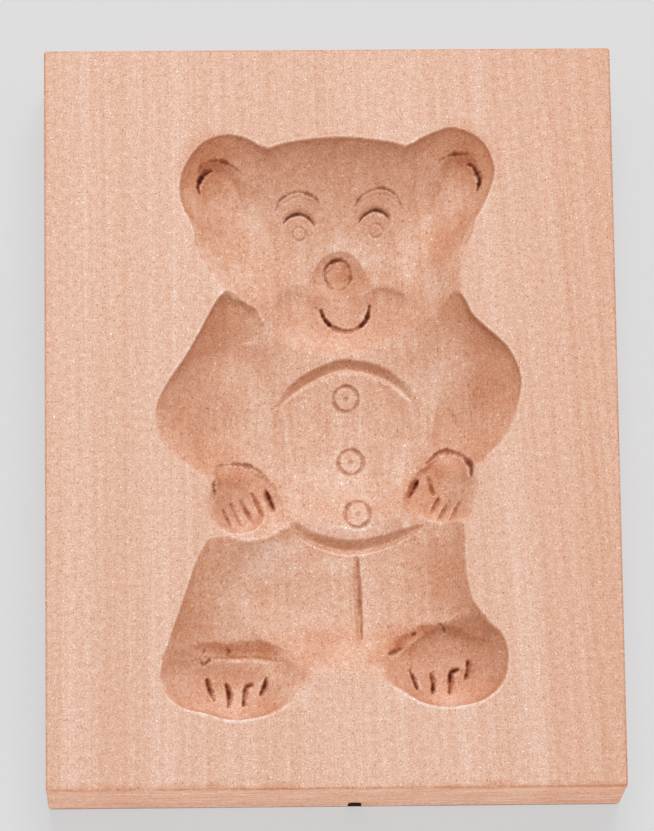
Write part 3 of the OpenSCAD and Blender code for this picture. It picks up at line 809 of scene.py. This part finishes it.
def beech():
    """Plain beech: fine speckle, faint streaks along the board; painted shade on carved walls, in cuts, in
    the notch and along the arris; painted light and shade in patches; wear and painted highlight on rims."""
    n = Nodes("beech")
    place = n.add("ShaderNodeTexCoord", "Object")
    mm = n.add("ShaderNodeVectorMath", 0, {0: place, 3: 1 / MM}, operation="SCALE")
    x, y, z = (n.axis(mm, k) for k in range(3))

    # Streaks run straight on the left, and on the right they lean out towards the feet
    lean = n.ramp(x, LEAN_STARTS, RING_X, 0.0, RING_LEAN)
    across = n.math("ADD", x, n.math("MULTIPLY", y, lean))
    along = n.add("ShaderNodeCombineXYZ", 0, {0: across, 1: n.math("MULTIPLY", y, STREAK_DRAW), 2: z})
    streak = n.noise(along, scale=0.9, detail=4.0, roughness=0.65)
    band = n.noise(along, scale=0.12, detail=1.0)
    past_ring = n.ramp(across, RING_X - 0.3, RING_X + 0.5)
    before_ring = n.math("MULTIPLY", n.ramp(across, RING_X - 7, RING_X - 0.4),
                         n.math("SUBTRACT", 1.0, past_ring))

    speck = n.noise(mm, scale=3.4, detail=2.0, roughness=0.8)
    pore = n.noise(n.stretch(mm, 1.0, 0.6, 1.0), scale=3.0, detail=1.0)
    dust = n.noise(mm, scale=2.7, detail=1.0)
    mottle = n.noise(mm, scale=0.9, detail=2.0)

    # Sawn ends
    end_grain = n.ramp(n.math("ABSOLUTE", y), BOARD_L / 2 - 0.35, BOARD_L / 2 - 0.15)
    saw = n.noise(n.stretch(mm, 0.08, 1.0, 1.0), scale=1.6, detail=3.0, roughness=0.7)

    # Painted shade along the front arris, in a brown band with a ragged edge
    from_arris = n.math("MAXIMUM", n.math("ADD", y, BOARD_L / 2), n.math("SUBTRACT", BOARD_T, z))
    ragged = n.ramp(n.noise(mm, scale=0.3, detail=3.0), 0.3, 0.7, -0.6, 1.0)
    front_shade_band = n.ramp(n.math("ADD", from_arris, ragged), 1.4, 0.3)

    tone_and_shade, wear_and_highlight, shade = (n.add("ShaderNodeAttribute", "Fac", attribute_name=label)
                         for label in ("tone_and_shade", "wear_and_highlight", "shade"))
    # brown adds up the wood's own marks and the painted shade, light and highlight that the attributes
    # carry
    brown = n.swing(speck, SPECK_BROWN, 0.25, 0.75)
    for more in (n.swing(streak, STREAK_BROWN),
                 n.swing(band, BAND_BROWN, 0.35, 0.65),
                 n.swing(mottle, MOTTLE_BROWN),
                 n.ramp(pore, 0.62, 0.76, 0.0, PORE_BROWN),
                 n.ramp(dust, 0.64, 0.76, 0.0, DUST_BROWN),
                 n.math("MULTIPLY", past_ring, PAST_RING_BROWN),
                 n.math("MULTIPLY", before_ring, BEFORE_RING_BROWN),
                 n.math("MULTIPLY", tone_and_shade, BROWN_OF_WALL_SHADE),
                 n.math("MULTIPLY", end_grain, n.swing(saw, SAW_BROWN)),
                 n.ramp(wear_and_highlight, 0.02, 0.15, 0.0, WEAR_AND_HIGHLIGHT_BROWN),
                 n.math("MULTIPLY", front_shade_band, FRONT_SHADE_BROWN)):
        brown = n.math("ADD", brown, more)
    channels = []
    for base, browning, groove_shade in zip(srgb(*FACE_COLOUR), BROWNING, GROOVE_SHADE):
        lost = n.math("ADD", n.math("MULTIPLY", brown, browning), n.math("MULTIPLY", shade, groove_shade))
        kept = n.math("EXPONENT", n.math("MULTIPLY", lost, -1.0))
        channels.append(n.math("MULTIPLY", kept, base))
    colour = n.add("ShaderNodeCombineColor", 0, dict(enumerate(channels)))
    n.feed(n.shader.inputs["Base Color"], colour)
    n.feed(n.shader.inputs["Roughness"], n.ramp(streak, 0.3, 0.7, *BEECH_ROUGHNESS))
    n.shader.inputs["Specular IOR Level"].default_value = BEECH_GLOSS
    bump = n.add("ShaderNodeBump", 0, {"Strength": SPECK_BUMP, "Distance": SPECK_HEIGHT, "Height": speck})
    n.feed(n.shader.inputs["Normal"], bump)
    return n.material


FLOOR_GREY = (221, 222, 223)
FLOOR_SHOWN = 0.7
FLOOR_PAINTED_SHADOW = (104, 68, 48)


def floor_paper():
    """Pale floor that keeps a light shadow round the board, with a painted shadow under it."""
    n = Nodes("floor_paper")
    n.shader.inputs["Roughness"].default_value = 1.0
    n.shader.inputs["Specular IOR Level"].default_value = 0.0
    path = n.tree.nodes.new("ShaderNodeLightPath")
    seen = n.math("MAXIMUM", path.outputs["Is Camera Ray"], path.outputs["Is Glossy Ray"])
    seen = n.math("MAXIMUM", seen, path.outputs["Is Transmission Ray"])
    place = n.add("ShaderNodeTexCoord", "Object")
    past = []
    for number, reach in enumerate((BOARD_W / 2 - ARRIS, BOARD_L / 2)):
        away = n.math("ABSOLUTE", n.axis(place, number))
        past.append(n.math("GREATER_THAN", away, reach * MM))
    clear = n.math("MAXIMUM", *past)
    # Under the board, a painted shadow that shows through the notch
    n.feed(n.shader.inputs["Base Color"], n.mix(clear, srgb(*FLOOR_PAINTED_SHADOW), srgb(*FLOOR_GREY)))
    glow = n.add("ShaderNodeEmission", 0, {"Color": srgb(*FLOOR_GREY), "Strength": 1.0})
    share = n.math("MULTIPLY", n.math("MULTIPLY", seen, clear), FLOOR_SHOWN)
    both = n.add("ShaderNodeMixShader", 0, {0: share, 1: n.shader.outputs[0], 2: glow})
    n.tree.links.new(both, n.tree.nodes["Material Output"].inputs["Surface"])
    return n.material


# Stage, in metres and watts

FLOOR_SIZE = 4
KEY_AT = (0.1, 1.5, 2.4)
KEY_SIZE = (1.4, 1.0)
KEY_POWER = 49
STRIP_AT = (0, -0.7, 0.02)
STRIP_SIZE = (0.8, 0.03)
STRIP_POWER = 2.1
SKY_WHITE = (1, 1, 1, 1)
SKY_STRENGTH = 0.49


def area_light(name, at, size, power):
    """Oblong lamp that points at the middle of the board."""
    data = bpy.data.lights.new(name, "AREA")
    data.shape = "RECTANGLE"
    data.size, data.size_y = size
    data.energy = power
    lamp = bpy.data.objects.new(name, data)
    lamp.location = at
    lamp.rotation_euler = (-Vector(at)).to_track_quat("-Z", "Y").to_euler()
    bpy.context.scene.collection.objects.link(lamp)


def sky():
    world = bpy.data.worlds.new("studio")
    bpy.context.scene.world = world
    world.use_nodes = True
    background = world.node_tree.nodes["Background"]
    background.inputs["Color"].default_value = SKY_WHITE
    background.inputs["Strength"].default_value = SKY_STRENGTH


def camera():
    lens = bpy.data.cameras.new("camera")
    lens.sensor_width = SENSOR
    lens.lens = FOCAL_PX * SENSOR / PHOTO_H
    stand = bpy.data.objects.new("camera", lens)
    stand.location = (CAMERA_AT[0] * MM, CAMERA_AT[1] * MM, (CAMERA_AT[2] + BOARD_T) * MM)
    stand.rotation_euler = [math.radians(a) for a in CAMERA_TURN]
    bpy.context.scene.collection.objects.link(stand)
    bpy.context.scene.camera = stand


def studio():
    bpy.ops.mesh.primitive_plane_add(size=FLOOR_SIZE, location=(0, 0, LOW[2]))
    floor = bpy.context.object
    floor.name = "floor"
    floor.data.materials.append(floor_paper())
    area_light("key", KEY_AT, KEY_SIZE, KEY_POWER)
    area_light("front_strip", STRIP_AT, STRIP_SIZE, STRIP_POWER)
    sky()
    camera()
    bpy.context.scene.view_settings.view_transform = "Standard"


studio()
board = board_piece("carved_board")
board.data.materials.append(beech())
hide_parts("mould_board")
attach(board, "root")
